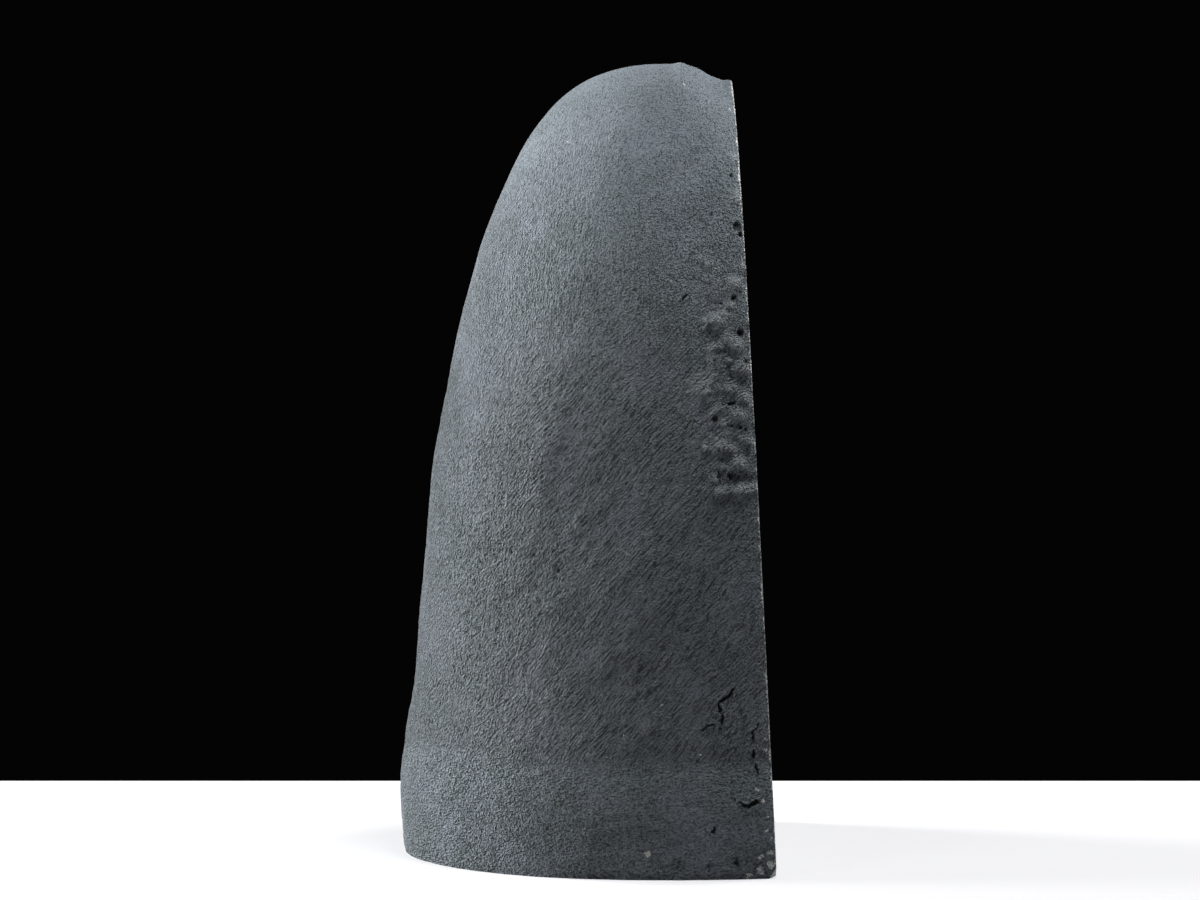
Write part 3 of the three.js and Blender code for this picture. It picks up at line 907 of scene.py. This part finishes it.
def vesicularBasalt():
    material, tree, shader = newMaterial("vesicularBasalt")
    place = objectPlace(tree)
    grain = useGroup(tree, sandGrain, (-4, 0), place,
                     {"Grain Size": 0.9 * mm, "Pit Spacing": 2.6 * mm, "Speck Spacing": 2.2 * mm})
    clouds = useGroup(tree, clouding, (-4, 3), place, {"Cloud Size": 14 * mm})
    colour = mixColour(tree, (0, 3), clouds.outputs["Clouds"], layers["basalt"], (0.060, 0.066, 0.058))
    colour = mixColour(tree, (1, 3), grain.outputs["Pits"], colour, (0.07, 0.13, 0.10))
    specks = maths(tree, (1, 1), "MULTIPLY", grain.outputs["Specks"], 0.7)
    colour = mixColour(tree, (2, 3), specks, colour, (0.45, 0.45, 0.42))
    setFinish(tree, shader, colour, grain.outputs["Height"], 0.3, 0.7, 0.30, 0.55)
    pitted = maths(tree, (1, -2), "SUBTRACT", grain.outputs["Height"], grain.outputs["Pits"])
    bump(tree, (3, -2), pitted, 0.15 * mm, shader)
    return material


def celadoniteSkin():
    material, tree, shader = newMaterial("celadoniteSkin")
    place = objectPlace(tree)
    grain = useGroup(tree, sandGrain, (-4, 0), place,
                     {"Grain Size": 0.5 * mm, "Pit Spacing": 3 * mm, "Speck Spacing": 2 * mm})
    clouds = useGroup(tree, clouding, (-4, 3), place, {"Cloud Size": 4 * mm})
    tone = mapRange(tree, (-1, 3), clouds.outputs["Clouds"], 0.35, 0.65)
    colour = mixColour(tree, (0, 3), tone, layers["celadonite"], (0.11, 0.17, 0.12))
    specks = maths(tree, (0, 1), "MULTIPLY", grain.outputs["Specks"], 0.6)
    colour = mixColour(tree, (1, 3), specks, colour, (0.5, 0.55, 0.45))
    tree.links.new(colour, shader.inputs["Base Color"])
    shader.inputs["Roughness"].default_value = 0.5
    bump(tree, (3, -2), grain.outputs["Height"], 0.08 * mm, shader)
    return material


def bandedAgate():
    material, tree, shader = newMaterial("bandedAgate")
    place = objectPlace(tree)
    clouds = useGroup(tree, clouding, (-6, 3), place, {"Cloud Size": 9 * mm})
    shifted = cloudedShare(tree, "layerShare", clouds, 0.34)
    bands = ramp(tree, (-2, 1), shifted, layers["agateBands"])
    lines = maths(tree, (-3, -1), "SINE", maths(tree, (-4, -1), "MULTIPLY", shifted, 95))
    lined = mapRange(tree, (-2, -1), lines, 0.2, 1.0, 0.0, 0.30)
    colour = mixColour(tree, (0, 1), lined, bands, (0.80, 0.80, 0.78))
    veins = maths(tree, (0, -1), "MULTIPLY", clouds.outputs["Veins"], 0.25)
    colour = mixColour(tree, (1, 1), veins, colour, (0.35, 0.30, 0.24))
    setFinish(tree, shader, colour, addNoise(tree, (-6, -2), place, 420, 3), 0.3, 0.7, 0.16, 0.28)
    setShader(shader, {"Coat Weight": 0.3, "Subsurface Weight": 0.15, "Subsurface Scale": 2 * mm})
    return material


def milkyQuartz():
    material, tree, shader = newMaterial("milkyQuartz")
    clouds = useGroup(tree, clouding, (-6, 3), objectPlace(tree), {"Cloud Size": 5 * mm})
    tones = ramp(tree, (-2, 1), cloudedShare(tree, "layerShare", clouds, 0.5), layers["quartz"])
    veins = maths(tree, (-1, -1), "MULTIPLY", clouds.outputs["Veins"], 0.35)
    colour = mixColour(tree, (0, 1), veins, tones, (0.86, 0.86, 0.86))
    setFinish(tree, shader, colour, clouds.outputs["Clouds"], 0.3, 0.7, 0.14, 0.30)
    setShader(shader, {"Coat Weight": 0.3, "Subsurface Weight": 0.25, "Subsurface Scale": 3 * mm})
    return material


makeLayer("basaltRind", depths["basalt"], depths["celadonite"], vesicularBasalt(), "basalt_rind")
makeLayer("celadoniteSkin", depths["celadonite"], depths["agate"], celadoniteSkin(), "celadonite_skin")
makeLayer("agateBand", depths["agate"], depths["quartz"], bandedAgate(), "agate_band")
makeLayer("quartzBed", depths["quartz"], depths["carpet"], milkyQuartz(), "quartz_bed")


# Amethyst: a rough bed, a carpet of small crystals grown from it, and the large points

druse = {
    "bedRoughness": 1.3 * mm,
    # For each size, its radius in mm, the most crystals of it, and their spacing as a share of both radii
    "sizes": ((6.2, 160, 0.80), (4.8, 500, 0.74), (3.6, 1400, 0.68), (2.6, 1600, 0.62)),
    "shapes": 10,
    "tilt": 0.30,
    "sunk": 0.45,  # share of a crystal's radius by which its foot is sunk in the bed
    "deepColour": (0.085, 0.020, 0.19),
    "midColour": (0.23, 0.085, 0.40),
    "rootColour": (0.62, 0.55, 0.68),
}


def bedRoughness(p):
    return druse["bedRoughness"] * (noise.noise(p / 0.009) + 0.6 * noise.noise(p / 0.004))


def makeCrystalShapes():  # a few six-sided crystals, one unit in radius, each with its own tip
    chance = random.Random(geode["seed"] + 1)
    shapes = []
    for index in range(druse["shapes"]):
        bm = bmesh.new()
        tip = bm.verts.layers.float.new("tip")
        prism = chance.uniform(0.5, 1.3)
        pyramid = chance.uniform(0.85, 1.35)
        bmesh.ops.create_cone(
            bm, cap_ends=True, segments=6, radius1=1, radius2=chance.uniform(0.9, 1), depth=prism
        )
        bmesh.ops.translate(bm, verts=bm.verts, vec=(0, 0, prism / 2))
        bmesh.ops.scale(bm, verts=bm.verts, vec=(chance.uniform(0.88, 1.12), chance.uniform(0.88, 1.12), 1))
        for v in bm.verts:
            v[tip] = 0.45 if v.co.z > prism / 2 else 0.12
            if v.co.z > prism / 2:
                v.co.z += chance.uniform(-0.12, 0.12) * prism
        top = max(bm.faces, key=lambda f: f.calc_center_median().z)
        apex = bmesh.ops.poke(bm, faces=[top])["verts"][0]
        apex.co += Vector((chance.uniform(-0.22, 0.22), chance.uniform(-0.22, 0.22), pyramid))
        apex[tip] = 1
        mesh = bpy.data.meshes.new(f"crystalShape{index}")
        bm.to_mesh(mesh)
        bm.free()
        shapes.append(mesh)
    return shapes


def cavityWall(bm):  # the wall the crystals grow on, as (face, inward direction, area)
    return [(f, f.normal.copy(), f.calc_area()) for f in bm.faces
            if f.tag and faceDepth(f.calc_center_median()) > -8 * mm]


def growCrystals(bm, wall, avoid):  # places crystals, large ones first, none closer than its spacing allows
    chance = random.Random(geode["seed"] + 2)
    shapes = makeCrystalShapes()
    weights = np.cumsum([area for f, normal, area in wall])
    taken = {}
    cell = 12 * mm

    def cellOf(p):
        return tuple(int(math.floor(c / cell)) for c in p)

    def near(p):
        for step in product((-1, 0, 1), repeat=3):
            yield from taken.get(tuple(a + b for a, b in zip(cellOf(p), step)), ())

    count = 0
    for radius, most, spacing in druse["sizes"]:
        placed = 0
        for _ in range(most * 6):
            if placed == most:
                break
            index = min(int(np.searchsorted(weights, chance.random() * weights[-1])), len(wall) - 1)
            face, inward = wall[index][:2]
            a, b, c = (v.co for v in face.verts)
            u, v = chance.random(), chance.random()
            if u + v > 1:
                u, v = 1 - u, 1 - v
            p = a + (b - a) * u + (c - a) * v
            size = radius * chance.uniform(0.82, 1.18) * mm
            if any((p - q).length < spacing * (size + other) for q, other in near(p)):
                continue
            if avoid.find_nearest(p, size * 0.6)[0] is not None:
                continue
            taken.setdefault(cellOf(p), []).append((p, size))
            lean = Vector([chance.gauss(0, druse["tilt"]) for _ in range(3)])
            axis = (inward + lean * 0.6).normalized()
            turn = axis.to_track_quat("Z", "Y").to_matrix().to_4x4()
            turn = turn @ Matrix.Rotation(chance.uniform(0, math.pi), 4, "Z")
            stretch = Matrix.Diagonal((size, size, size * chance.uniform(0.8, 1.25), 1))
            crystal = chance.choice(shapes).copy()
            crystal.transform(Matrix.Translation(p - axis * size * druse["sunk"]) @ turn @ stretch)
            bm.from_mesh(crystal)
            bpy.data.meshes.remove(crystal)
            placed += 1
        count += placed
    print(count, "crystals grown")


def drusyAmethyst():
    material, tree, shader = newMaterial("drusyAmethyst")
    place = objectPlace(tree)
    clouds = useGroup(tree, clouding, (-6, 3), place, {"Cloud Size": 6 * mm})
    stops = [(0.0, druse["rootColour"]), (0.35, druse["midColour"]), (0.8, druse["deepColour"])]
    fromRoot = ramp(tree, (-2, 1), cloudedShare(tree, "tip", clouds, 0.5), stops)
    darker = mapRange(tree, (-2, -3), addNoise(tree, (-6, -3), place, 16, 2), 0.35, 0.65, 0.0, 0.55)
    colour = mixColour(tree, (0, 1), darker, fromRoot, druse["deepColour"])
    setFinish(tree, shader, colour, clouds.outputs["Clouds"], 0.35, 0.7, 0.06, 0.20)
    setShader(shader, {"IOR": 1.55, "Transmission Weight": 0.25, "Coat Weight": 0.4, "Coat Roughness": 0.04})
    return material


def amethystPoints():
    material, tree, shader = newMaterial("amethystPoints")
    place = objectPlace(tree)
    clouds = useGroup(tree, clouding, (-6, 3), place, {"Cloud Size": 7 * mm})
    # Fine growth lines across each crystal
    stretched = addNode(tree, "Mapping", (-7, -3), {"Scale": (500, 500, 2200)})
    tree.links.new(place, stretched.inputs["Vector"])
    tone = mapRange(tree, (-3, 1), clouds.outputs["Clouds"], 0.3, 0.7)
    colour = mixColour(tree, (-1, 1), tone, druse["deepColour"], druse["midColour"])
    veins = maths(tree, (-1, -1), "MULTIPLY", clouds.outputs["Veins"], 0.25)
    colour = mixColour(tree, (0, 1), veins, colour, (0.45, 0.30, 0.62))
    setFinish(tree, shader, colour, clouds.outputs["Clouds"], 0.35, 0.7, 0.05, 0.16)
    bump(tree, (1, -3), addNoise(tree, (-6, -3), stretched.outputs[0], 1, 2), 0.05 * mm, shader)
    setShader(shader, {"IOR": 1.55, "Transmission Weight": 0.35, "Coat Weight": 0.4, "Coat Roughness": 0.03})
    return material


def makeCarpet(material):
    bm = bmesh.new()
    tip = bm.verts.layers.float.new("tip")
    addBody(bm, layers["subdivisions"], depths["carpet"] - layerJoint + layers["gap"] / 2)
    inner = addBody(bm, 7, depths["cavity"])
    bm.normal_update()
    for v in inner:
        v.co -= v.normal * bedRoughness(v.co)
        v[tip] = 0.5
    turnInside(bm, inner)
    bm.normal_update()
    for v in inner:
        for f in v.link_faces:
            f.tag = True
    large = bmesh.new()
    for point in largePoints:
        large.from_mesh(point.data)
    avoid = BVHTree.FromBMesh(large)
    large.free()
    crystals = bmesh.new()
    crystals.verts.layers.float.new("tip")
    growCrystals(crystals, cavityWall(bm), avoid)
    cutAway(crystals, allGeometry(crystals), facePoint - faceNormal * 0.05 * mm, faceNormal)
    bmesh.ops.holes_fill(crystals, edges=openEdges(crystals), sides=0)
    cutAway(bm, allGeometry(bm), facePoint, faceNormal)
    bmesh.ops.bridge_loops(bm, edges=openEdges(bm))
    bmesh.ops.recalc_face_normals(bm, faces=bm.faces)
    bmesh.ops.recalc_face_normals(crystals, faces=crystals.faces)
    print("carpet open edges", len(openEdges(bm)), len(openEdges(crystals)))
    join(bm, crystals)
    return finishPiece(bm, "amethystCarpet", material, "amethyst_carpet", math.radians(20))


largePoints = [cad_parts[name] for name in sorted(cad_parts) if name.startswith("amethyst_point")]
makeCarpet(drusyAmethyst())
pointFinish = amethystPoints()
for point in largePoints:
    point.data.materials.clear()
    point.data.materials.append(pointFinish)
print("amethyst made")


# Stage: a pale table, soft light from one side, and the camera

stage = {
    "tableColour": (0.45, 0.45, 0.46),
    "tableShine": (0.42, 0.42, 0.43),  # light the table gives off towards the camera alone
    "tableGlow": (0.30, 0.30, 0.31),  # the same table as its light falls back on the object
    "keyLight": ((0.69, 1.78, 0.70), 0.60, 52),  # place, size and power
    "sideLight": ((0.0, 1.25, 0.48), 0.40, 16),
    "topLight": ((-0.28, -0.26, 1.23), 0.45, 10.8),
    "faceLight": ((0.60, -1.70, 1.00), 0.80, 25),
    "fillLight": ((-1.1, 0.9, 0.8), 0.40, 2.6),
    "world": 0.0012,
    "tableReach": (0.75, 1.15),  # half its length and width
    "tableShift": -0.486,
    "cameraPlace": (-1.834, -0.0084, 0.275),
    "cameraDrop": math.radians(2.2258),  # how far it looks down
    "lens": 108.2,
}


def paleTable():
    material, tree, shader = newMaterial("paleTable")
    seen = addNode(tree, "LightPath", (0, 2)).outputs["Is Camera Ray"]
    mottle = maths(tree, (2, -1), "MULTIPLY", addNoise(tree, (0, 0), objectPlace(tree), 60, 3), 0.06)
    colour = mixColour(tree, (2, 0), seen, stage["tableGlow"], stage["tableColour"])
    colour = mixColour(tree, (3, 0), mottle, colour, (0.5, 0.5, 0.5))
    tree.links.new(colour, shader.inputs["Base Color"])
    shine = mixColour(tree, (3, 2), seen, (0, 0, 0), stage["tableShine"])
    tree.links.new(shine, shader.inputs["Emission Color"])
    setShader(shader, {"Emission Strength": 1, "Roughness": 0.8})
    return material


def makeTable():
    bm = bmesh.new()
    bmesh.ops.create_grid(bm, x_segments=8, y_segments=8, size=1)
    bmesh.ops.scale(bm, verts=bm.verts, vec=(*stage["tableReach"], 1))
    bmesh.ops.translate(bm, verts=bm.verts, vec=(stage["tableShift"], 0, 0))
    mesh = bpy.data.meshes.new("table")
    bm.to_mesh(mesh)
    bm.free()
    mesh.materials.append(paleTable())
    table = bpy.data.objects.new("table", mesh)
    bpy.context.scene.collection.objects.link(table)


def addLight(name, place, size, power, aim=(0, 0, 0.2)):
    light = bpy.data.lights.new(name, "AREA")
    light.shape = "DISK"
    light.size = size
    light.energy = power
    lamp = bpy.data.objects.new(name, light)
    bpy.context.scene.collection.objects.link(lamp)
    lamp.location = place
    lamp.rotation_euler = (Vector(aim) - Vector(place)).to_track_quat("-Z", "Y").to_euler()


makeTable()
for name in ("keyLight", "sideLight", "topLight", "faceLight", "fillLight"):
    addLight(name, *stage[name])
world = bpy.data.worlds.new("studio")
world.use_nodes = True
world.node_tree.nodes["Background"].inputs["Color"].default_value = (1, 1, 1, 1)
world.node_tree.nodes["Background"].inputs["Strength"].default_value = stage["world"]
bpy.context.scene.world = world
bpy.context.scene.view_settings.view_transform = "Standard"

camera = bpy.data.objects.new("camera", bpy.data.cameras.new("camera"))
bpy.context.scene.collection.objects.link(camera)
camera.data.lens = stage["lens"]
camera.data.sensor_width = 36
camera.location = stage["cameraPlace"]
camera.rotation_euler = (math.pi / 2 - stage["cameraDrop"], 0, -math.pi / 2)
bpy.context.scene.camera = camera

print("scene made")
